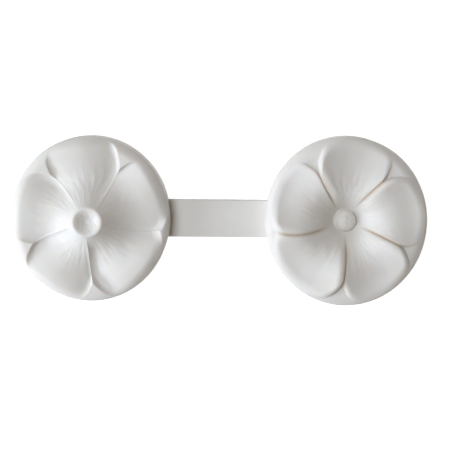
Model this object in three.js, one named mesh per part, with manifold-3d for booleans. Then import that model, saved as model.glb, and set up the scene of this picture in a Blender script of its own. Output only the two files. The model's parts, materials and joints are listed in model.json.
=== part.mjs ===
// Two-part silicone press mould for fondant flowers. The flower die is a funnel of five cupped petals
// round a knob, the press die is the same flower turned over, and a flat strap joins them. Folding the
// strap lays the press face down on the flower, with a sheet of fondant between the two.
// Millimetres, +Z up, +X towards the flower die, origin in the middle of the base.

import * as THREE from 'three';
import { mergeVertices } from 'three/addons/utils/BufferGeometryUtils.js';
import Module from 'manifold-3d';

const { clamp, degToRad, lerp, smoothstep } = THREE.MathUtils;

// Outlines of the dies: width along the strap, length across it
const FLOWER_WIDTH = 57;
const FLOWER_LENGTH = 60;
const PRESS_WIDTH = 56.2;
const PRESS_LENGTH = 58.8;
const EDGE_RADIUS = 4;
const BASE_RADIUS = 0.8;

// Thickness of the closed mould: petal crest, fondant sheet, and press above the crest
const CREST_HEIGHT = 16;
const SHEET_GAP = 1;
const PRESS_VALLEY = 9;

// Funnel of the flower, from its floor under the knob out to the crest and down a little to the petal ends
const FUNNEL_DEPTH = 12;
const FUNNEL_POWER = 3;
const FUNNEL_TURN = 4;
const CREST_RADIUS = 24;
const CREST_ROLL = 1;
const SHOULDER_DROP = 2.7;

// Knob in the middle of the flower, and the room it has in the dimple of the press: beside it and above it
const KNOB_RADIUS = 4;
const KNOB_HEIGHT = 4.8;
const KNOB_POWER = 0.6;
const KNOB_ROUNDNESS = 2.5;
const KNOB_CLEARANCE = 1.4;
const KNOB_GAP = 0.7;
const DIMPLE_POWER = 1.5;

// Petals: hollow across, flatter again at the tip, and tilted from the low edge to the raised one
const PETAL_CUP = 3.5;
const CUP_RADIUS = 24;
const TIP_RISE = 0.35;
const PETAL_BASE = 0.7;
const PETAL_FADE = 11;

// Rolled lip of the raised edge, and the groove at its foot, which is a lower ridge on the press
const LIP_WIDTH = 3.2;
const LIP_POWER = 0.75;
const GROOVE_WIDTH = 1;
const GROOVE_DEPTH = 0.5;
const RIDGE_DEPTH = 0.25;

// Round ends of the petals, measured in from the outline, and the flat share of each end
const END_INSET = 1;
const END_ROLL = 3.4;
const END_FLAT = 0.5;

// Grooves between the petals: angle at the rim, sweep on the way to the knob, height of the raised edge
// beside it, and how far the petal corners on both sides of it draw in from the rim
const GROOVES = [
  { rim: 46, sweep: 8, step: 1.3, corner: 8 },
  { rim: 118.5, sweep: 5, step: 1.5, corner: 8 },
  { rim: 186.5, sweep: 13, step: 1.2, corner: 2.5 },
  { rim: 265, sweep: 6, step: 2.2, corner: 7 },
  { rim: 335, sweep: 5, step: 1.5, corner: 6.5 },
];
const GROOVE_MARGIN = 2.65;
const SWEEP_POWER = 1.8;

// Strap, cut by narrow slits into links that bend at its upper face
const STRAP_WIDTH = 13.5;
const STRAP_THICKNESS = 3;
const STRAP_EDGE = 0.6;
const BEND_STATIONS = 6;
const SLIT = 0.3;
const SHORTEST_TONGUE = 3.3;
const TONGUE_ROOT = 4;

// Fineness of the mesh
const LINES_PER_PETAL = 17;
const LINE_CROWDING = 0.8;
const KNOB_RINGS = 6;
const RELIEF_RINGS = 22;
const RING_CROWDING = 0.8;
const EDGE_STEPS = 6;
const CORNER_STEPS = 3;

// Sizes that follow: the bends add up to half a turn, and the last link ends right above the first
const CLOSED_HEIGHT = CREST_HEIGHT + SHEET_GAP + PRESS_VALLEY;
const HALF_BEND = Math.PI / BEND_STATIONS / 2;
const LINK_PITCH = (CLOSED_HEIGHT - 2 * STRAP_THICKNESS) * Math.tan(HALF_BEND);
const BEND_REACH = Math.max(FLOWER_WIDTH, PRESS_WIDTH) / 2 + SHORTEST_TONGUE;
const FIRST_TO_LAST_BEND = (BEND_STATIONS - 1) * LINK_PITCH;
const TOTAL_LENGTH = FLOWER_WIDTH / 2 + 2 * BEND_REACH + FIRST_TO_LAST_BEND + PRESS_WIDTH / 2;
const GROOVE_END = (FLOWER_WIDTH + FLOWER_LENGTH) / 4 - GROOVE_MARGIN;
const FLOWER_X = TOTAL_LENGTH / 2 - FLOWER_WIDTH / 2;
const PRESS_X = PRESS_WIDTH / 2 - TOTAL_LENGTH / 2;
const FIRST_BEND_X = FLOWER_X - BEND_REACH;
const LAST_BEND_X = PRESS_X + BEND_REACH;

const SILICONE = { color: 0xf0efec, roughness: 0.5, metalness: 0 };

const wasm = await Module();
wasm.setup();

// Booleans on closed meshes
function solidOf(geometry) {
  const bare = geometry.clone();
  bare.deleteAttribute('normal');
  bare.deleteAttribute('uv');
  const merged = mergeVertices(bare);
  const vertProperties = new Float32Array(merged.attributes.position.array);
  const triVerts = new Uint32Array(merged.index.array);
  return new wasm.Manifold(new wasm.Mesh({ numProp: 3, vertProperties, triVerts }));
}

function geometryOf(solid) {
  const mesh = solid.getMesh();
  const geometry = new THREE.BufferGeometry();
  geometry.setAttribute('position', new THREE.BufferAttribute(mesh.vertProperties, 3));
  geometry.setIndex(new THREE.BufferAttribute(mesh.triVerts, 1));
  geometry.computeVertexNormals();
  return geometry;
}

// Grooves and outline. A groove's index runs on past the last one, so that petals can wrap round
function grooveAt(index) {
  return GROOVES[index % GROOVES.length];
}

function grooveAngle(index, s) {
  const groove = grooveAt(index);
  const turns = Math.floor(index / GROOVES.length);
  return degToRad(360 * turns + groove.rim + groove.sweep * (1 - s ** SWEEP_POWER));
}

function ovalRadius(angle, width, length) {
  return 1 / Math.hypot(Math.cos(angle) / (width / 2), Math.sin(angle) / (length / 2));
}

// A rolled edge: 0 at its foot, steep at first, and 1 once the share reaches 1
function lip(share) {
  const left = clamp(1 - share, 0, 1);
  return (1 - left ** 2) ** LIP_POWER;
}

// The relief of the flower: r is the distance from the middle, inset the distance in from its outline,
// u the place across a petal (0 at its groove, 1 at its raised edge) and arc the petal's width there
function funnelHeight(r, roll) {
  const soft = (r ** FUNNEL_TURN + KNOB_RADIUS ** FUNNEL_TURN) ** (1 / FUNNEL_TURN);
  const climb = clamp((soft - KNOB_RADIUS) / (CREST_RADIUS - KNOB_RADIUS), 0, 1);
  return CREST_HEIGHT - FUNNEL_DEPTH * (1 - climb) ** FUNNEL_POWER - CREST_ROLL * roll ** 2;
}

function petalTilt({ u, arc, petal }, cutDepth) {
  const step = grooveAt(petal + 1).step;
  const groove = cutDepth * Math.max(0, 1 - (u * arc) / GROOVE_WIDTH) ** 2;
  const fall = (step + cutDepth) * (1 - lip(((1 - u) * arc) / LIP_WIDTH));
  return step * u - PETAL_BASE - groove - fall;
}

function petalHollow({ r, u }, roll) {
  const cup = PETAL_CUP * smoothstep(r, KNOB_RADIUS, CUP_RADIUS) * (1 - TIP_RISE * roll ** 2);
  return 4 * cup * u * (1 - u);
}

function petalNotch({ u, petal }) {
  const low = Math.max(0, 1 - 2 * u - END_FLAT) / (1 - END_FLAT);
  const high = Math.max(0, 2 * u - 1 - END_FLAT) / (1 - END_FLAT);
  return grooveAt(petal).corner * low ** 2 + grooveAt(petal + 1).corner * high ** 2;
}

function flowerHeight(spot, { knob, cutDepth }) {
  const { r, inset } = spot;
  const roll = clamp((r - CREST_RADIUS) / (r + inset - CREST_RADIUS), 0, 1);
  const fade = smoothstep(r, knob.radius, KNOB_RADIUS + PETAL_FADE);
  const petal = funnelHeight(r, roll) + fade * petalTilt(spot, cutDepth) - petalHollow(spot, roll);
  const within = lip((inset - END_INSET - petalNotch(spot)) / END_ROLL);
  const round = Math.max(0, 1 - (r / knob.radius) ** KNOB_ROUNDNESS);
  return lerp(CREST_HEIGHT - SHOULDER_DROP, petal, within) + knob.height * round ** knob.power;
}

// The two faces. The press repeats the flower as its mirror image, upside down and a sheet away
const flowerFace = {
  width: FLOWER_WIDTH,
  length: FLOWER_LENGTH,
  mirrored: false,
  knob: { radius: KNOB_RADIUS, height: KNOB_HEIGHT, power: KNOB_POWER },
  cutDepth: GROOVE_DEPTH,
};
flowerFace.height = (spot) => flowerHeight(spot, flowerFace);

const dimple = {
  radius: KNOB_RADIUS + KNOB_CLEARANCE,
  height: KNOB_HEIGHT + KNOB_GAP - SHEET_GAP,
  power: DIMPLE_POWER,
};
const pressFace = {
  width: PRESS_WIDTH,
  length: PRESS_LENGTH,
  mirrored: true,
  knob: dimple,
  cutDepth: RIDGE_DEPTH,
};
pressFace.height = (spot) => CLOSED_HEIGHT - SHEET_GAP - flowerHeight(spot, pressFace);

// Lines that run out from the middle, crowded towards the grooves of each petal
function petalLines(face) {
  const lines = [];
  for (let petal = 0; petal < GROOVES.length; petal += 1) {
    for (let step = 0; step < LINES_PER_PETAL; step += 1) {
      lines.push({ petal, share: step / LINES_PER_PETAL });
    }
  }
  return face.mirrored ? lines.reverse() : lines;
}

// The place of a line, a share t of the way from the knob's foot to the start of the rounded edge
function linePlace(face, line, t) {
  const rough = lerp(face.knob.radius, (face.width + face.length) / 4 - EDGE_RADIUS, t);
  const s = clamp((rough - KNOB_RADIUS) / (GROOVE_END - KNOB_RADIUS), 0, 1);
  const crowding = LINE_CROWDING * smoothstep(s, 0, 0.3);
  const u = line.share - (crowding * Math.sin(2 * Math.PI * line.share)) / (2 * Math.PI);
  const from = grooveAngle(line.petal, s);
  const to = grooveAngle(line.petal + 1, s);
  const angle = lerp(from, to, u);
  const outline = ovalRadius(angle, face.width, face.length);
  const petalTip = ovalRadius(angle, FLOWER_WIDTH, FLOWER_LENGTH);
  const turned = face.mirrored ? Math.PI - angle : angle;
  const ahead = new THREE.Vector2(Math.cos(turned), Math.sin(turned));
  return { petal: line.petal, u, span: to - from, outline, petalTip, ahead };
}

// Points of a die: on the relief or, past its end, on the edge that rounds it off
function facePoint(face, { petal, u, span, petalTip, ahead }, r, drop) {
  const spot = { r, inset: petalTip - r, u, arc: span * r, petal };
  return new THREE.Vector3(ahead.x * r, ahead.y * r, face.height(spot) - drop);
}

function knobPoint(face, line, share) {
  return facePoint(face, linePlace(face, line, 0), face.knob.radius * share, 0);
}

function reliefPoint(face, line, t) {
  const place = linePlace(face, line, t);
  return facePoint(face, place, lerp(face.knob.radius, place.outline - EDGE_RADIUS, t), 0);
}

function edgePoint(face, line, turn) {
  const place = linePlace(face, line, 1);
  const r = place.outline - EDGE_RADIUS * (1 - Math.sin(turn));
  return facePoint(face, place, r, EDGE_RADIUS * (1 - Math.cos(turn)));
}

function footPoint(face, line, turn) {
  const { outline, ahead } = linePlace(face, line, 1);
  const r = outline - BASE_RADIUS * (1 - Math.cos(turn));
  return new THREE.Vector3(ahead.x * r, ahead.y * r, BASE_RADIUS * (1 - Math.sin(turn)));
}

// All rings of a die, from the top of the knob over the relief, the rounded edge and the wall to the base
function dieRings(face) {
  const rings = [];
  for (let i = 1; i <= KNOB_RINGS; i += 1) {
    const share = Math.sin((i / KNOB_RINGS) * (Math.PI / 2));
    rings.push((line) => knobPoint(face, line, share));
  }
  for (let i = 1; i <= RELIEF_RINGS; i += 1) {
    rings.push((line) => reliefPoint(face, line, (i / RELIEF_RINGS) ** RING_CROWDING));
  }
  for (let i = 1; i <= EDGE_STEPS; i += 1) {
    rings.push((line) => edgePoint(face, line, (i / EDGE_STEPS) * (Math.PI / 2)));
  }
  for (const turn of [0, Math.PI / 4, Math.PI / 2]) {
    rings.push((line) => footPoint(face, line, turn));
  }
  return rings;
}

// A closed skin through rings of points, with one point in the middle of the top and of the base
function ringSkin(rings, lines, top, bottom) {
  const points = [top, ...rings.flatMap((ring) => lines.map(ring)), bottom];
  const count = lines.length;
  const at = (ring, line) => 1 + ring * count + (line % count);
  const faces = [];
  for (let line = 0; line < count; line += 1) {
    faces.push(0, at(0, line), at(0, line + 1));
    for (let ring = 0; ring < rings.length - 1; ring += 1) {
      faces.push(at(ring, line), at(ring + 1, line), at(ring + 1, line + 1));
      faces.push(at(ring, line), at(ring + 1, line + 1), at(ring, line + 1));
    }
    faces.push(points.length - 1, at(rings.length - 1, line + 1), at(rings.length - 1, line));
  }
  const geometry = new THREE.BufferGeometry().setFromPoints(points);
  geometry.setIndex(faces);
  return geometry;
}

// A length of strap between two places along X, its upper and lower edges slightly rounded
function strapGeometry(fromX, toX) {
  const side = STRAP_WIDTH / 2;
  const shape = new THREE.Shape();
  shape.moveTo(-side + STRAP_EDGE, 0);
  shape.lineTo(side - STRAP_EDGE, 0);
  shape.absarc(side - STRAP_EDGE, STRAP_EDGE, STRAP_EDGE, -Math.PI / 2, 0);
  shape.absarc(side - STRAP_EDGE, STRAP_THICKNESS - STRAP_EDGE, STRAP_EDGE, 0, Math.PI / 2);
  shape.absarc(-side + STRAP_EDGE, STRAP_THICKNESS - STRAP_EDGE, STRAP_EDGE, Math.PI / 2, Math.PI);
  shape.absarc(-side + STRAP_EDGE, STRAP_EDGE, STRAP_EDGE, Math.PI, 1.5 * Math.PI);
  const options = { depth: toX - fromX, bevelEnabled: false, curveSegments: CORNER_STEPS };
  const geometry = new THREE.ExtrudeGeometry(shape, options);
  geometry.rotateX(Math.PI / 2).rotateZ(Math.PI / 2);
  return geometry.translate(fromX, 0, 0);
}

// A die with its tongue of strap, which reaches from inside the wall to the first slit
function dieGeometry(face, centreX, tongueFrom, tongueTo) {
  const middle = { r: 0, inset: face.width / 2, u: 0.5, arc: 0, petal: 0 };
  const top = new THREE.Vector3(0, 0, face.height(middle));
  const skin = ringSkin(dieRings(face), petalLines(face), top, new THREE.Vector3(0, 0, 0));
  const tongue = strapGeometry(tongueFrom, tongueTo);
  return geometryOf(solidOf(skin.translate(centreX, 0, 0)).add(solidOf(tongue)));
}

function namedMesh(name, geometry) {
  const mesh = new THREE.Mesh(geometry, new THREE.MeshStandardMaterial(SILICONE));
  mesh.name = name;
  return mesh;
}

// The mould, laid open on its base
const mould = new THREE.Group();

const flowerRoot = FLOWER_X - FLOWER_WIDTH / 2 + TONGUE_ROOT;
mould.add(namedMesh('flower_die', dieGeometry(flowerFace, FLOWER_X, FIRST_BEND_X + SLIT / 2, flowerRoot)));

for (let i = 0; i < BEND_STATIONS - 1; i += 1) {
  const link = namedMesh(`strap_link_${i + 1}`, strapGeometry(SLIT / 2 - LINK_PITCH, -SLIT / 2));
  link.position.x = FIRST_BEND_X - i * LINK_PITCH;
  mould.add(link);
}

const pressRoot = PRESS_X + PRESS_WIDTH / 2 - TONGUE_ROOT;
mould.add(namedMesh('press_die', dieGeometry(pressFace, PRESS_X, pressRoot, LAST_BEND_X - SLIT / 2)));

export default mould;
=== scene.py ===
# %% [markdown]
# The mould is one casting in soft off-white silicone: two round dies joined by a flat strap. The packed
# model gives every piece its place, so it is loaded first and its box is kept. Sizes below are in
# millimetres, and one factor turns them into Blender's metres.

# %% Load the frame
import json
import math

import bmesh
import bpy
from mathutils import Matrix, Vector

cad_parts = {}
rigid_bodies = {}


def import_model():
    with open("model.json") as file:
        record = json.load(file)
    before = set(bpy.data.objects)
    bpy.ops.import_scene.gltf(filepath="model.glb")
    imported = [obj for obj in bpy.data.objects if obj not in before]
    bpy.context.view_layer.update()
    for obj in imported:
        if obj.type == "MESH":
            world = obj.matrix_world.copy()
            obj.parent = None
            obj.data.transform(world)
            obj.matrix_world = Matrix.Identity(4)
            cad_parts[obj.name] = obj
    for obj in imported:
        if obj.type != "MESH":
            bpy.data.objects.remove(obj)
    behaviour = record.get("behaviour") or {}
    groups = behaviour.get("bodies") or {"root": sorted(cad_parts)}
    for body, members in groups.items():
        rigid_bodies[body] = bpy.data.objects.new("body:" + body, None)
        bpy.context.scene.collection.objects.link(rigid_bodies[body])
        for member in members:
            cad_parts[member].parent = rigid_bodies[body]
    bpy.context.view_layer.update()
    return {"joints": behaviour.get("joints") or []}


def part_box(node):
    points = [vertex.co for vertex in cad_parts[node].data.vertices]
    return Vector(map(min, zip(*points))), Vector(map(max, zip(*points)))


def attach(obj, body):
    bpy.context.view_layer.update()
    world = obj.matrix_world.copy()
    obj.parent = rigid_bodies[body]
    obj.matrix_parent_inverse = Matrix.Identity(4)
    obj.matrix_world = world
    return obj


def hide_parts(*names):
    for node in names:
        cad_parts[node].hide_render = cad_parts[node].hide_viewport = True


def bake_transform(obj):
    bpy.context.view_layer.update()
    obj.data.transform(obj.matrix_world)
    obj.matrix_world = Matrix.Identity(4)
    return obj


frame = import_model()
MM = 0.001

joints = frame["joints"]
bend_x = [joint["pos_m"][0] / MM for joint in joints]
bend_z = joints[0]["pos_m"][2] / MM
bodies = [joints[0]["parent"]] + [joint["child"] for joint in joints]
print("bends at", [round(x, 2) for x in bend_x], "mm along the strap")

# %% [markdown]
# Geometry Nodes can hold the whole shape of a die, because its relief follows a rule. Written node by node
# the sums would be hard to read, so a small class lets Python's own operators lay the Math nodes: adding two
# fields adds a node and returns its output as a new field.

# %% Sums as nodes
class Field:
    """A number that varies over a mesh. Arithmetic on it becomes Math nodes in its tree."""

    def __init__(self, socket):
        self.socket = socket

    def math(self, operation, *others):
        tree = self.socket.id_data
        node = tree.nodes.new("ShaderNodeMath")
        node.operation = operation
        for slot, value in zip(node.inputs, (self, *others)):
            plug(value, slot)
        return Field(node.outputs[0])

    def __add__(self, other):
        return self.math("ADD", other)

    def __sub__(self, other):
        return self.math("SUBTRACT", other)

    def __mul__(self, other):
        return self.math("MULTIPLY", other)

    def __truediv__(self, other):
        return self.math("DIVIDE", other)

    def __pow__(self, other):
        return self.math("POWER", other)

    def __rsub__(self, other):
        return self.math("MULTIPLY_ADD", -1.0, other)

    __radd__ = __add__
    __rmul__ = __mul__

    def least(self, other):
        return self.math("MINIMUM", other)

    def most(self, other):
        return self.math("MAXIMUM", other)

    def sin(self):
        return self.math("SINE")

    def cos(self):
        return self.math("COSINE")


def plug(value, slot):
    """Links a field to a socket, or sets the socket to a plain number."""
    if isinstance(value, Field):
        value.socket.id_data.links.new(value.socket, slot)
    else:
        slot.default_value = value


# %% [markdown]
# A few shapes come back again and again in the relief: a rise from 0 to 1, a smooth rise, a point in space,
# noise, and a value looked up petal by petal. Each gets a short helper that lays the one node it needs.

# %% Helpers that lay one node
def ramp(field, low, high, kind="LINEAR"):
    """0 below low, 1 above high, and a straight or smooth rise between them."""
    node = field.socket.id_data.nodes.new("ShaderNodeMapRange")
    node.interpolation_type = kind
    for slot, value in zip(node.inputs, (field, low, high, 0.0, 1.0)):
        plug(value, slot)
    return Field(node.outputs[0])


def ease(field, low, high):
    return ramp(field, low, high, "SMOOTHSTEP")


def vector(tree, x, y, z):
    node = tree.nodes.new("ShaderNodeCombineXYZ")
    for slot, value in zip(node.inputs, (x, y, z)):
        plug(value, slot)
    return node.outputs[0]


def noise(tree, place, scale, detail):
    """Smooth noise around zero, from about -1 to 1."""
    node = tree.nodes.new("ShaderNodeTexNoise")
    node.inputs["Scale"].default_value = scale
    node.inputs["Detail"].default_value = detail
    tree.links.new(place, node.inputs["Vector"])
    return Field(node.outputs[0]) * 2.0 - 1.0


def pick(index, values):
    """The value that belongs to a whole-number index."""
    tree = index.socket.id_data
    node = tree.nodes.new("GeometryNodeIndexSwitch")
    node.data_type = "FLOAT"
    while len(node.index_switch_items) < len(values):
        node.index_switch_items.new()
    plug(index, node.inputs[0])
    for slot, value in zip(node.inputs[1:], values):
        slot.default_value = value
    return Field(node.outputs[0])


# %% [markdown]
# Silicone is a soft, slightly see-through rubber. Light goes in a little way and comes out again, which fills
# the grooves with a warm tone, and its skin is satin, not glossy. So the finish is a Principled shader with a
# short warm subsurface radius, a roughness that wanders with noise, and a very fine bump. On the dies a dark
# warm colour is also mixed in along the groove lines: painted shade, where the shade of the grooves falls. The
# strap is drawn in several closed lengths, and light that goes into one can't come out of the next, which
# would show as bands. So the strap's finish is the same without the light that passes through.

# %% Silicone finish
PALE = (0.80, 0.78, 0.745, 1.0)
SHADED = (0.77, 0.745, 0.70, 1.0)
# Painted shade: a dark warm colour laid along the groove lines, where shade falls.
PAINTED_SHADE_COLOR = (0.54, 0.43, 0.31, 1.0)
GLOW_SPREAD = (1.0, 0.7, 0.48)
GLOW_DEPTH = 2.2
SILICONE_IOR = 1.41
PATCH_SCALE = 70.0
SATIN_SCALE = 300.0
SATIN_ROUGHNESS = (0.44, 0.58)
GRAIN_SCALE = 2600.0
GRAIN_STRENGTH = 0.12
GRAIN_HEIGHT = 0.05


def silicone(name, glow_through):
    """The rubber of the mould. glow_through is the share of light that goes in and comes out again."""
    material = bpy.data.materials.new(name)
    material.use_nodes = True
    nodes = material.node_tree.nodes
    links = material.node_tree.links
    shader = nodes["Principled BSDF"]
    shader.inputs["Subsurface Weight"].default_value = glow_through
    shader.inputs["Subsurface Radius"].default_value = GLOW_SPREAD
    shader.inputs["Subsurface Scale"].default_value = GLOW_DEPTH * MM
    shader.inputs["IOR"].default_value = SILICONE_IOR
    place = nodes.new("ShaderNodeTexCoord").outputs["Object"]

    def cloud(scale, detail):
        node = nodes.new("ShaderNodeTexNoise")
        node.inputs["Scale"].default_value = scale
        node.inputs["Detail"].default_value = detail
        links.new(place, node.inputs["Vector"])
        return node.outputs[0]

    def blend(share, low, high):
        node = nodes.new("ShaderNodeMix")
        node.data_type = "RGBA"
        links.new(share, node.inputs["Factor"])
        for slot, value in zip(node.inputs[6:8], (low, high)):
            if isinstance(value, tuple):
                slot.default_value = value
            else:
                links.new(value, slot)
        return node.outputs[2]

    def span(field, low, high, to_low, to_high):
        node = nodes.new("ShaderNodeMapRange")
        for slot, value in zip(node.inputs[1:5], (low, high, to_low, to_high)):
            slot.default_value = value
        links.new(field, node.inputs[0])
        return node.outputs[0]

    patches = span(cloud(PATCH_SCALE, 3.0), 0.35, 0.65, 0.0, 1.0)
    # Painted shade: this attribute mixes the dark warm colour into the grooves.
    painted_groove_shade = nodes.new("ShaderNodeAttribute")
    painted_groove_shade.attribute_name = "painted_groove_shade"
    colour_with_painted_shade = blend(painted_groove_shade.outputs["Fac"], blend(patches, PALE, SHADED), PAINTED_SHADE_COLOR)
    links.new(colour_with_painted_shade, shader.inputs["Base Color"])
    links.new(span(cloud(SATIN_SCALE, 4.0), 0.3, 0.7, *SATIN_ROUGHNESS), shader.inputs["Roughness"])

    grain = nodes.new("ShaderNodeBump")
    grain.inputs["Strength"].default_value = GRAIN_STRENGTH
    grain.inputs["Distance"].default_value = GRAIN_HEIGHT * MM
    links.new(cloud(GRAIN_SCALE, 5.0), grain.inputs["Height"])
    links.new(grain.outputs["Normal"], shader.inputs["Normal"])
    return material


skin = silicone("silicone_satin", 0.35)
strap_skin = silicone("silicone_strap", 0.0)
print("finishes ready:", skin.name, strap_skin.name)

# %% [markdown]
# The two dies differ in a few sizes only, so these become inputs of one tree. The flower is a funnel with
# a knob. The press is the same relief mirrored and turned over, so its "side" is -1, its "rise" is the height
# that is turned about, and its "knob" is the dimple that the knob fits into. The sizes after them belong to
# both.

# %% Sizes of the dies
FLOWER = {
    "width": 57.0,
    "length": 60.0,
    "side": 1.0,
    "rise": 0.0,
    "knob": 4.0,
    "knob_power": 0.6,
    "knob_height": 4.8,
    "groove_depth": 0.5,
    # share of painted shade along the groove lines
    "painted_shade": 0.8,
    "vein": 0.16,
    "stipple": 0.3,
}
PRESS = {
    "width": 56.2,
    "length": 58.8,
    "side": -1.0,
    "rise": 25.0,
    "knob": 5.4,
    "knob_power": 1.8,
    "knob_height": 4.6,
    "groove_depth": 0.25,
    "painted_shade": 0.0,
    "vein": 0.18,
    "stipple": 0.2,
}
KNOB_RADIUS = 4.0
KNOB_ROUNDNESS = 2.5
EDGE_RADIUS = 4.0
BASE_RADIUS = 0.8
for name, sizes in (("flower", FLOWER), ("press", PRESS)):
    print(name, "die", sizes["width"], "x", sizes["length"], "mm")

# %% [markdown]
# Five grooves part the petals, and each one sweeps sideways on its way in from the rim. Across a petal a
# place u runs from 0 at its groove to 1 at its raised edge, which laps the next petal. Points are crowded
# towards both ends of u, because the groove and the edge hold the finest detail.

# %% Where a point lies on its petal
GROOVE_RIM = (46.0, 118.5, 186.5, 265.0, 335.0)
GROOVE_SWEEP = (8.0, 5.0, 13.0, 6.0, 5.0)
SWEEP_POWER = 1.8
SWEEP_END = 27.0
PETALS = len(GROOVE_RIM)
CROWDING = 0.6
CROWDING_STARTS = 0.3


def following(values, turn=0.0):
    """The list moved on by one groove, because a petal ends where the next groove lies."""
    return values[1:] + (values[0] + turn,)


def petal_place(around, r):
    """u, the petal's angle, the point's angle and the petal's number, from a share of a turn and a radius."""
    turn = around * float(PETALS)
    petal = turn.math("FLOOR").least(PETALS - 1.0)
    share = turn - petal
    s = ramp(r, KNOB_RADIUS, SWEEP_END)
    crowd = CROWDING * ease(s, 0.0, CROWDING_STARTS)
    u = share - crowd * (share * math.tau).sin() / math.tau
    next_rim = following(GROOVE_RIM, 360.0)
    left = 1.0 - s**SWEEP_POWER
    start = pick(petal, GROOVE_RIM) + pick(petal, GROOVE_SWEEP) * left
    stop = pick(petal, next_rim) + pick(petal, following(GROOVE_SWEEP)) * left
    span = (stop - start) * math.radians(1.0)
    return u, span, start * math.radians(1.0) + span * u, petal


def oval(angle, width, length):
    """Distance from the middle to an oval outline."""
    flat = angle.cos() / (width * 0.5)
    tall = angle.sin() / (length * 0.5)
    return (flat * flat + tall * tall) ** -0.5


print(PETALS, "petals, grooves at", GROOVE_RIM, "degrees")

# %% [markdown]
# The height of the face is a sum of simple parts: a funnel with a rounded bottom, the knob, a petal that is
# cupped across and leans from its groove up to its raised edge, and fine veins near the middle. Towards the
# rim each petal rolls down to a shoulder, earlier at its corners, which leaves the wedge gaps between the
# petals. Sculpting could make this face too, but a sum keeps both dies in step, so that they close on each
# other. The veins stop short of the grooves, so that the sheet's two sides meet there.

# %% Height of the face
CREST_HEIGHT = 16.0
CREST_RADIUS = 24.0
CREST_ROLL = 1.0
FUNNEL_DEPTH = 12.0
FUNNEL_POWER = 3.0
FUNNEL_TURN = 4.0
SHOULDER_DROP = 2.7
PETAL_CUP = 3.5
CUP_RADIUS = 24.0
TIP_RISE = 0.35
PETAL_BASE = 0.7
PETAL_FADE = 7.5
GROOVE_STEP = (1.3, 1.5, 1.2, 2.2, 1.5)
GROOVE_WIDTH = 1.0
PAINTED_SHADE_WIDTH = 1.1
LIP_WIDTH = 3.2
LIP_POWER = 0.75
END_INSET = 1.0
END_CORNER = (8.0, 8.0, 2.5, 7.0, 6.5)
END_ROLL = 3.4
END_FLAT = 0.5
VEIN_SCALE = 3.0
VEIN_DETAIL = 1.5
VEINS_ACROSS = 4.0
VEIN_STRETCH = 0.06
VEIN_SHIFT = 3.7
VEIN_MARGIN = 0.08
VEINS_START = (KNOB_RADIUS + 1.0, KNOB_RADIUS + 6.0)
VEINS_END = (13.0, 24.0)


def lip(share):
    """A rounded edge: 0 at its foot, steep at first, and level at 1 from a share of 1 on."""
    left = (1.0 - share).most(0.0).least(1.0)
    return (1.0 - left * left) ** LIP_POWER


def flower_relief(tree, r, inset, u, arc, petal, sizes):
    """Height of the flower's face, and the share of painted shade near the groove lines."""
    soft_r = (r**FUNNEL_TURN + KNOB_RADIUS**FUNNEL_TURN) ** (1.0 / FUNNEL_TURN)
    climb = ramp(soft_r, KNOB_RADIUS, CREST_RADIUS)
    roll = ((r - CREST_RADIUS) / (r + inset - CREST_RADIUS)).most(0.0).least(1.0)
    funnel = CREST_HEIGHT - FUNNEL_DEPTH * (1.0 - climb) ** FUNNEL_POWER - CREST_ROLL * roll**2.0
    q = r / sizes["knob"]
    knob = sizes["knob_height"] * ((1.0 - q**KNOB_ROUNDNESS).most(0.0)) ** sizes["knob_power"]

    fade = ease(r, KNOB_RADIUS, KNOB_RADIUS + PETAL_FADE)
    from_low = u * arc
    from_high = (1.0 - u) * arc
    step = pick(petal, following(GROOVE_STEP))
    lean = step * u - PETAL_BASE
    cup_depth = PETAL_CUP * ease(r, KNOB_RADIUS, CUP_RADIUS) * (1.0 - TIP_RISE * roll * roll)
    cup = 4.0 * cup_depth * u * (1.0 - u)
    groove = (1.0 - from_low / GROOVE_WIDTH).most(0.0) ** 2.0
    depth = sizes["groove_depth"]
    cut = groove * depth + (1.0 - lip(from_high / LIP_WIDTH)) * (step + depth)

    vein_place = vector(tree, u * VEINS_ACROSS + petal * VEIN_SHIFT, r * VEIN_STRETCH, 0.0)
    veins = noise(tree, vein_place, VEIN_SCALE, VEIN_DETAIL)
    vein_band = ease(r, *VEINS_START) * (1.0 - ease(r, *VEINS_END))
    off_groove = ease(u, 0.0, VEIN_MARGIN) * (1.0 - ease(u, 1.0 - VEIN_MARGIN, 1.0))
    grain = veins * vein_band * off_groove * sizes["vein"]

    low_corner = (1.0 - END_FLAT - u * 2.0).most(0.0) / (1.0 - END_FLAT)
    high_corner = (u * 2.0 - 1.0 - END_FLAT).most(0.0) / (1.0 - END_FLAT)
    low_notch = pick(petal, END_CORNER) * low_corner**2.0
    high_notch = pick(petal, following(END_CORNER)) * high_corner**2.0
    within = lip((inset - END_INSET - (low_notch + high_notch)) / END_ROLL)
    shoulder = CREST_HEIGHT - SHOULDER_DROP
    petal_top = funnel + fade * (lean - cut) - cup + grain
    # Painted shade: strongest on the groove lines, fading out a short way from them.
    painted_shade_line = (1.0 - from_low.least(from_high) / PAINTED_SHADE_WIDTH).most(0.0)
    return shoulder + (petal_top - shoulder) * within + knob, painted_shade_line * fade * within * sizes["painted_shade"]


print("crest", CREST_HEIGHT, "mm high, funnel", FUNNEL_DEPTH, "mm deep")

# %% [markdown]
# The tree starts from a flat grid. Across the sheet the points run round the die, and along it they run from
# the middle over the relief, the rounded edge, the wall, the foot and the base. Each point's place on the
# grid says where it goes. Points that meet at the middle and along the seam are merged, so the die is one
# closed skin. A little noise keeps the casting from looking turned on a lathe.

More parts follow.
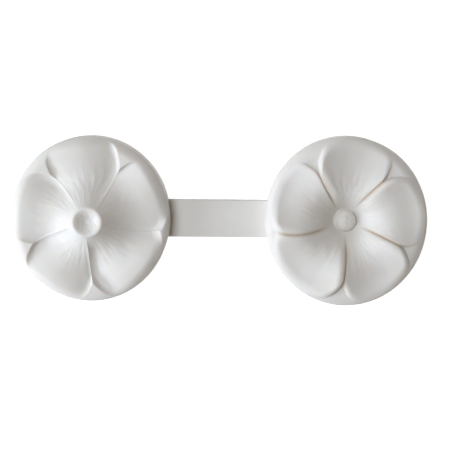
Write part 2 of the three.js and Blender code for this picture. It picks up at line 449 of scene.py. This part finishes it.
# %% Die tree
POINTS_ROUND = 480
ROWS = {"knob": 30, "relief": 92, "edge": 16, "wall": 10, "foot": 6, "base": 6}
LUMP_SCALE = 0.11
LUMP_HEIGHT = 0.12
STIPPLE_SCALE = 0.75
STIPPLE_EDGE = 0.7
MERGE_DISTANCE = 0.002
QUARTER = math.pi / 2


def row_marks():
    """Where each stretch of rows starts and ends, as shares of the whole sheet."""
    total = sum(ROWS.values())
    marks = {}
    done = 0
    for name, count in ROWS.items():
        marks[name] = (done / total, (done + count) / total)
        done += count
    return marks


def die_shape(tree, around, along, sizes):
    """The place of each point of the sheet on the die, and its share of painted shade near the grooves."""
    side = sizes["side"]
    on = {stretch: ramp(along, low, high) for stretch, (low, high) in row_marks().items()}
    knob_part = (on["knob"] * QUARTER).sin() * sizes["knob"]
    mean_radius = (sizes["width"] + sizes["length"]) / 4.0
    rough_radius = knob_part + on["relief"] * (mean_radius - EDGE_RADIUS - sizes["knob"])
    u, span, angle, petal = petal_place(around, rough_radius)
    outline = oval(angle, sizes["width"], sizes["length"])
    petal_tip = oval(angle, FLOWER["width"], FLOWER["length"])
    edge = on["edge"] * QUARTER
    foot = on["foot"] * QUARTER
    r = knob_part + on["relief"] * (outline - EDGE_RADIUS - sizes["knob"]) + EDGE_RADIUS * edge.sin()
    # The second value is the share of painted shade near the grooves, not a depth.
    relief, depth = flower_relief(tree, r, petal_tip - r, u, span * r, petal, sizes)

    top = sizes["rise"] + relief * side
    brow = top - EDGE_RADIUS * (1.0 - edge.cos())
    height = brow + (BASE_RADIUS - brow) * on["wall"] - BASE_RADIUS * foot.sin()
    reach = (r - BASE_RADIUS * (1.0 - foot.cos())) * (1.0 - on["base"])
    x = angle.cos() * reach * side
    y = angle.sin() * reach

    uneven_place = vector(tree, x + sizes["rise"], y, height)
    lumps = noise(tree, uneven_place, LUMP_SCALE, 1.0) * LUMP_HEIGHT
    middle = 1.0 - ease(r, KNOB_RADIUS * STIPPLE_EDGE, KNOB_RADIUS)
    stipple = noise(tree, uneven_place, STIPPLE_SCALE, 0.0) * middle * sizes["stipple"]
    on_top = 1.0 - on["wall"]
    height = height + (lumps * ease(reach, 0.0, 2.0) + stipple) * on_top * (1.0 - on["foot"])
    place = vector(tree, x * MM + sizes["centre_x"], y * MM, height * MM)
    return place, depth * (1.0 - on["edge"])


def die_tree(name):
    """A tree whose named inputs are the sizes that tell one die from the other."""
    tree = bpy.data.node_groups.new(name, "GeometryNodeTree")
    face = tree.interface
    face.new_socket(name="Geometry", in_out="OUTPUT", socket_type="NodeSocketGeometry")
    sizes = {}
    inlet = tree.nodes.new("NodeGroupInput")
    for label in list(FLOWER) + ["centre_x"]:
        face.new_socket(name=label, in_out="INPUT", socket_type="NodeSocketFloat")
        sizes[label] = Field(inlet.outputs[label])
    material_socket = face.new_socket(name="finish", in_out="INPUT", socket_type="NodeSocketMaterial")

    grid = tree.nodes.new("GeometryNodeMeshGrid")
    grid.inputs["Size X"].default_value = 1.0
    grid.inputs["Size Y"].default_value = 1.0
    grid.inputs["Vertices X"].default_value = POINTS_ROUND + 1
    grid.inputs["Vertices Y"].default_value = sum(ROWS.values()) + 1
    split = tree.nodes.new("ShaderNodeSeparateXYZ")
    tree.links.new(tree.nodes.new("GeometryNodeInputPosition").outputs[0], split.inputs[0])
    around = 0.5 - Field(split.outputs["X"]) * sizes["side"]
    along = Field(split.outputs["Y"]) + 0.5
    place, painted_groove_shade = die_shape(tree, around, along, sizes)

    # Stored per point: the share of painted shade that the finish mixes into the colour.
    store = tree.nodes.new("GeometryNodeStoreNamedAttribute")
    store.data_type = "FLOAT"
    store.domain = "POINT"
    store.inputs["Name"].default_value = "painted_groove_shade"
    plug(painted_groove_shade, store.inputs["Value"])
    move = tree.nodes.new("GeometryNodeSetPosition")
    merge = tree.nodes.new("GeometryNodeMergeByDistance")
    merge.inputs["Distance"].default_value = MERGE_DISTANCE * MM
    smooth = tree.nodes.new("GeometryNodeSetShadeSmooth")
    realize = tree.nodes.new("GeometryNodeRealizeInstances")
    paint = tree.nodes.new("GeometryNodeSetMaterial")
    outlet = tree.nodes.new("NodeGroupOutput")
    tree.links.new(place, move.inputs["Position"])
    tree.links.new(inlet.outputs[material_socket.name], paint.inputs["Material"])
    chain = [grid, store, move, merge, smooth, realize, paint, outlet]
    for before, after in zip(chain, chain[1:]):
        tree.links.new(before.outputs[0], after.inputs[0])
    return tree


relief_tree = die_tree("die_relief")
print("die tree:", len(relief_tree.nodes), "nodes,", POINTS_ROUND, "points round each die")

# %% [markdown]
# Each die is the same tree with its own sizes. The result is read back as a plain mesh and the modifier is
# taken off, because the pieces are handed over as meshes. A positive volume shows that the faces point
# outwards.

# %% Both dies
def plain_mesh(carrier, name):
    """The evaluated shape of an object as a mesh with no modifier left on it."""
    evaluated = carrier.evaluated_get(bpy.context.evaluated_depsgraph_get())
    mesh = bpy.data.meshes.new_from_object(evaluated)
    mesh.name = name
    return mesh


def make_die(name, tree, sizes, centre_x):
    die = bpy.data.objects.new(name, bpy.data.meshes.new(name))
    bpy.context.scene.collection.objects.link(die)
    modifier = die.modifiers.new("relief", "NODES")
    modifier.node_group = tree
    values = dict(sizes, centre_x=centre_x * MM, finish=skin)
    for socket in tree.interface.items_tree:
        if socket.in_out == "INPUT":
            modifier[socket.identifier] = values[socket.name]
    mesh = plain_mesh(die, name)
    die.modifiers.remove(modifier)
    die.data = mesh
    work = bmesh.new()
    work.from_mesh(mesh)
    print(name, len(mesh.polygons), "faces, volume", round(work.calc_volume(signed=True) / MM**3), "mm3")
    work.free()
    return die


flower_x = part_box("flower_die")[1][0] / MM - FLOWER["width"] / 2
press_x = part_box("press_die")[0][0] / MM + PRESS["width"] / 2
flower = make_die("flower_face", relief_tree, FLOWER, flower_x)
press = make_die("press_face", relief_tree, PRESS, press_x)

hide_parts("flower_die")
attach(flower, bodies[0])
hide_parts("press_die")
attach(press, bodies[-1])

# %% [markdown]
# The strap is a plain flat band, and the softest part of the mould. In the imported model it is a row of rigid
# links, so here it is made as one span for each bend: a span starts in the middle of one link, crosses the
# bend and ends in the middle of the next. The ends of neighbouring spans share a plane, so that the band
# looks unbroken.

# %% One span of the strap
STRAP_WIDTH = 13.5
STRAP_EDGE = 0.5
STRAP_STEPS = 24
CORNER_STEPS = 5


def strap_section():
    """Points round the band's section, as (y, z), with small round corners."""
    half = STRAP_WIDTH / 2 - STRAP_EDGE
    high = bend_z - STRAP_EDGE
    corners = ((half, STRAP_EDGE, -90), (half, high, 0), (-half, high, 90), (-half, STRAP_EDGE, 180))
    points = []
    for y, z, start in corners:
        for step in range(CORNER_STEPS + 1):
            turn = math.radians(start + 90 * step / CORNER_STEPS)
            points.append((y + STRAP_EDGE * math.cos(turn), z + STRAP_EDGE * math.sin(turn)))
    return points


def strap_span(name, from_x, to_x):
    """A closed length of band. Its end faces and their edges are sharp."""
    work = bmesh.new()
    section = strap_section()
    rings = []
    for step in range(STRAP_STEPS + 1):
        x = from_x + (to_x - from_x) * step / STRAP_STEPS
        rings.append([work.verts.new((x * MM, y * MM, z * MM)) for y, z in section])
    count = len(section)
    for ring, next_ring in zip(rings, rings[1:]):
        for i in range(count):
            j = (i + 1) % count
            work.faces.new((ring[i], ring[j], next_ring[j], next_ring[i]))
    caps = [work.faces.new(rings[0]), work.faces.new(rings[-1])]
    bmesh.ops.recalc_face_normals(work, faces=work.faces)
    for face in work.faces:
        face.smooth = face not in caps
    for cap in caps:
        for edge in cap.edges:
            edge.smooth = False
    mesh = bpy.data.meshes.new(name)
    work.to_mesh(mesh)
    work.free()
    mesh.materials.append(strap_skin)
    span = bpy.data.objects.new(name, mesh)
    bpy.context.scene.collection.objects.link(span)
    return span


# %% [markdown]
# The first and the last span reach a little way into the dies, as the moulded roots of the real strap do.

# %% Whole strap
ROOT = 4.0

pitch = bend_x[0] - bend_x[1]
for i, x in enumerate(bend_x):
    first = i == 0
    last = i == len(bend_x) - 1
    from_x = flower_x - FLOWER["width"] / 2 + ROOT if first else x + pitch / 2
    to_x = press_x + PRESS["width"] / 2 - ROOT if last else x - pitch / 2
    span = strap_span(f"strap_span_{i + 1}", from_x, to_x)
    start = flower_x - FLOWER["width"] / 2 if first else from_x
    end = press_x + PRESS["width"] / 2 if last else to_x
    bodies[i + 1]
    start * MM
    end * MM
    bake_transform(span)
    if not last:
        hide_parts(f"strap_link_{i + 1}")
print(len(bend_x), "strap spans,", round(pitch, 2), "mm from bend to bend")

# %% [markdown]
# The mould lies on a white ground. The floor is a wide dish, so that a low view meets its raised rim and not
# a horizon. It gives off light of its own, to stay white. A real white table throws back less light than
# that, so the floor is kept out of the light that the mould gathers. A dimmer card just under it throws light
# back onto the walls instead, and the camera doesn't see the card.

# %% Floor
FLOOR_FLAT = 3.0
RIM_RADIUS = 3.0
RIM_TURN = 70.0
RIM_STEPS = 12
FLOOR_SIDES = 64
FLOOR_WHITE = (0.92, 0.92, 0.92, 1.0)
FLOOR_GLOW = 0.85
CARD_WIDTH = 1.2
CARD_Z = -0.002
CARD_BLACK = (0.0, 0.0, 0.0, 1.0)
CARD_GLOW = 0.5


def glowing(name, color, glow):
    """A dull finish that gives off some light of its own."""
    material = bpy.data.materials.new(name)
    material.use_nodes = True
    shader = material.node_tree.nodes["Principled BSDF"]
    shader.inputs["Base Color"].default_value = color
    shader.inputs["Roughness"].default_value = 0.9
    shader.inputs["Emission Color"].default_value = (1.0, 1.0, 1.0, 1.0)
    shader.inputs["Emission Strength"].default_value = glow
    return material


def dish_mesh():
    """A flat round floor whose rim turns up, so that a low view sees no edge."""
    work = bmesh.new()
    profile = [work.verts.new((0.0, 0.0, 0.0)), work.verts.new((FLOOR_FLAT, 0.0, 0.0))]
    for step in range(1, RIM_STEPS + 1):
        turn = math.radians(RIM_TURN) * step / RIM_STEPS
        x = FLOOR_FLAT + RIM_RADIUS * math.sin(turn)
        profile.append(work.verts.new((x, 0.0, RIM_RADIUS * (1 - math.cos(turn)))))
    edges = [work.edges.new(pair) for pair in zip(profile, profile[1:])]
    swept = profile + edges
    bmesh.ops.spin(work, geom=swept, axis=(0, 0, 1), cent=(0, 0, 0), angle=math.tau, steps=FLOOR_SIDES)
    bmesh.ops.remove_doubles(work, verts=work.verts, dist=MM)
    bmesh.ops.recalc_face_normals(work, faces=work.faces)
    mesh = bpy.data.meshes.new("ground")
    work.to_mesh(mesh)
    work.free()
    mesh.shade_smooth()
    return mesh


floor = bpy.data.objects.new("ground", dish_mesh())
bpy.context.scene.collection.objects.link(floor)
floor.data.materials.append(glowing("white_ground", FLOOR_WHITE, FLOOR_GLOW))
floor.visible_diffuse = False

card_mesh = bpy.data.meshes.new("bounce_card")
half_card = CARD_WIDTH / 2
corners = [(-half_card, -half_card), (half_card, -half_card), (half_card, half_card), (-half_card, half_card)]
card_mesh.from_pydata([(x, y, CARD_Z) for x, y in corners], [], [(0, 1, 2, 3)])
card_mesh.materials.append(glowing("bounce", CARD_BLACK, CARD_GLOW))
card = bpy.data.objects.new("bounce_card", card_mesh)
bpy.context.scene.collection.objects.link(card)
card.visible_camera = False
print("floor", 2 * FLOOR_FLAT, "m of flat ground, card", CARD_WIDTH, "m wide")

# %% [markdown]
# The light is soft daylight. A wide, bluish window stands low on the left and towards the viewer, so walls
# that face right go grey. A skylight high on the left lights the faces from above, and a weak warm world
# fills the shadows. The Standard view keeps the ground plain white.

# %% Lights
FILL_COLOR = (1.0, 0.82, 0.62, 1.0)
FILL_STRENGTH = 0.15


def soft_light(name, place, width, height, power, color):
    light = bpy.data.lights.new(name, "AREA")
    light.shape = "RECTANGLE"
    light.size = width
    light.size_y = height
    light.energy = power
    light.color = color
    lamp = bpy.data.objects.new(name, light)
    lamp.location = place
    lamp.rotation_euler = (-Vector(place)).to_track_quat("-Z", "Y").to_euler()
    bpy.context.scene.collection.objects.link(lamp)
    return lamp


window = soft_light(
    "window", place=(-0.90, -0.28, 0.32), width=0.9, height=0.4, power=7.7, color=(0.80, 0.88, 1.0)
)
skylight = soft_light(
    "skylight", place=(-0.38, 0.13, 0.915), width=0.5, height=0.5, power=6.1, color=(0.87, 0.925, 1.0)
)
scene = bpy.context.scene
scene.world = scene.world or bpy.data.worlds.new("studio")
scene.world.use_nodes = True
fill = scene.world.node_tree.nodes["Background"]
fill.inputs["Color"].default_value = FILL_COLOR
fill.inputs["Strength"].default_value = FILL_STRENGTH
scene.view_settings.view_transform = "Standard"
print("lights:", window.name, skylight.name)

# %% [markdown]
# The photograph looks almost straight down from about 40 cm. A longer lens further away would show less of
# the walls, and a nearer one would push the knob and the dimple outwards. The roll turns the picture so that
# the press lies on the left.

# %% Camera
CAMERA_PLACE = Vector((3.0, 46.0, 405.0)) * MM
CAMERA_TARGET = Vector((3.0, -2.8, 5.0)) * MM
CAMERA_ROLL = math.radians(180.5)
PHOTO_PIXELS = 454
FOCAL_PIXELS = 1130.0
SENSOR_MM = 36.0

lens = bpy.data.cameras.new("photo_view")
lens.sensor_width = SENSOR_MM
lens.lens = FOCAL_PIXELS / PHOTO_PIXELS * SENSOR_MM
lens.clip_start = 0.005
camera = bpy.data.objects.new("photo_view", lens)
camera.location = CAMERA_PLACE
aim = (CAMERA_TARGET - CAMERA_PLACE).to_track_quat("-Z", "Y")
camera.rotation_euler = aim.to_euler()
camera.rotation_euler.rotate_axis("Z", CAMERA_ROLL)
scene.collection.objects.link(camera)
scene.camera = camera
print("camera", [round(v, 4) for v in camera.location], "lens", round(lens.lens, 1), "mm")
